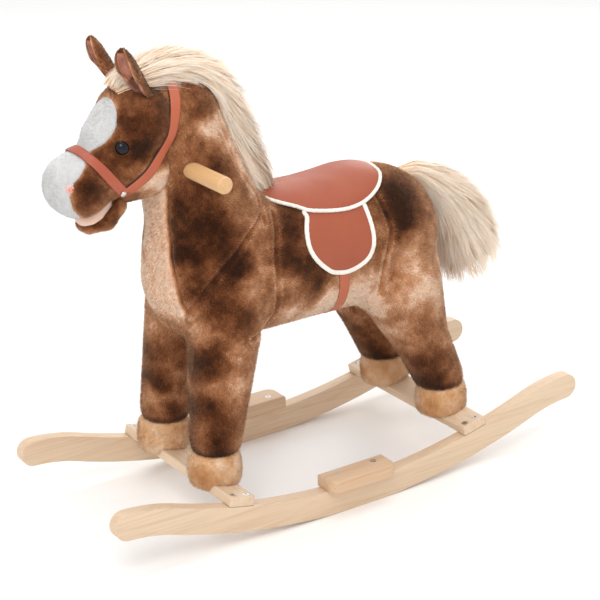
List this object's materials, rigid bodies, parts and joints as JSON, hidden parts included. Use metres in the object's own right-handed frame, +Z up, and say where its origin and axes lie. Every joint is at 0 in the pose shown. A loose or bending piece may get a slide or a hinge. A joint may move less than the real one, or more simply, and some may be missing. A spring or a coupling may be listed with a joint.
{
  "type": "rocking horse",
  "caption": "Plush ride-on horse on curved wooden rockers, with cross boards, footrests, a dowel handle, saddle and bridle, a mouth that opens, a tail that swings and a sound button in the ear.",
  "frame": {"origin": "on the floor, midway between the two rockers and midway along them", "axes": "+Z up; the horse faces -Y; +X is the horse's left side, its near side in the picture"},
  "size_m": [0.312, 0.75, 0.651],
  "materials": {
    "pine": "sanded pine with a thin clear lacquer",
    "frame_wood": "rough sawn pine inside the stuffing",
    "brown_plush": "short brushed plush, dark brown with tan patches",
    "white_plush": "very short white plush",
    "hoof_plush": "cream and tan plush",
    "long_fur": "long cream fur",
    "lining": "smooth pale pink cloth",
    "tack_leather": "terracotta imitation leather, satin",
    "piping": "white woven cord",
    "zinc": "zinc plated",
    "rivet": "bright silver",
    "eye": "glossy dark blue to black",
    "nostril": "pale pink",
    "dark_plastic": "moulded, matt",
    "battery": "printed sleeve, plain"
  },
  "bodies": {
    "horse": {"rocker_left": "pine", "rocker_right": "pine", "front_cross_board": "pine", "rear_cross_board": "pine", "footrest_left": "pine", "footrest_right": "pine", "cross_board_screws": "zinc", "footrest_screws": "zinc", "leg_post_front_left": "frame_wood", "leg_post_front_right": "frame_wood", "leg_post_rear_left": "frame_wood", "leg_post_rear_right": "frame_wood", "spine_board": "frame_wood", "neck_post": "frame_wood", "handle_dowel": "pine", "frame_screws": "zinc", "body_plush": "brown_plush", "neck_plush": "brown_plush", "head_plush": "brown_plush", "muzzle_plush": "white_plush", "leg_front_left": "brown_plush", "leg_front_right": "brown_plush", "leg_rear_left": "brown_plush", "leg_rear_right": "brown_plush", "hoof_front_left": "hoof_plush", "hoof_front_right": "hoof_plush", "hoof_rear_left": "hoof_plush", "hoof_rear_right": "hoof_plush", "ear_left": "brown_plush", "ear_right": "brown_plush", "ear_lining_left": "lining", "ear_lining_right": "lining", "eye_left": "eye", "eye_right": "eye", "nostril_buttons": "nostril", "mane": "long_fur", "forelock": "long_fur", "saddle_seat": "tack_leather", "saddle_flap_left": "tack_leather", "saddle_flap_right": "tack_leather", "saddle_piping": "piping", "girth_strap": "tack_leather", "noseband": "tack_leather", "headstall": "tack_leather", "bridle_rivets": "rivet", "sound_box": "dark_plastic", "batteries": "battery", "speaker": "dark_plastic", "jaw_motor": "dark_plastic", "jaw_pin": "zinc", "tail_motor": "dark_plastic"},
    "jaw": {"jaw_plush": "brown_plush", "jaw_lining": "lining"},
    "tail": {"tail": "long_fur", "tail_shaft": "zinc"},
    "ear_button": {"ear_button": "dark_plastic"},
    "battery_lid": {"battery_lid": "dark_plastic"},
    "power_switch": {"power_switch": "dark_plastic"}
  },
  "joints": [
    {"name": "jaw_hinge", "type": "hinge", "parent": "horse", "child": "jaw", "pos_m": [0, -0.286, 0.452], "axis": [1, 0, 0], "range_deg": [-12, 0]},
    {"name": "tail_swing", "type": "hinge", "parent": "horse", "child": "tail", "pos_m": [0, 0.1962, 0.39814], "axis": [0, 0.766, 0.6428], "range_deg": [-18, 18]},
    {"name": "ear_button_press", "type": "slide", "parent": "horse", "child": "ear_button", "axis": [-0.2092, 0.8682, 0.45], "range_m": [0, 0.0015], "stiffness_N_per_m": 400, "springref_m": -0.0005},
    {"name": "battery_lid_hinge", "type": "hinge", "parent": "horse", "child": "battery_lid", "pos_m": [0, 0.0435, 0.252], "axis": [1, 0, 0], "range_deg": [-90, 0]},
    {"name": "power_switch_slide", "type": "slide", "parent": "horse", "child": "power_switch", "axis": [1, 0, 0], "range_m": [0, 0.003]}
  ]
}
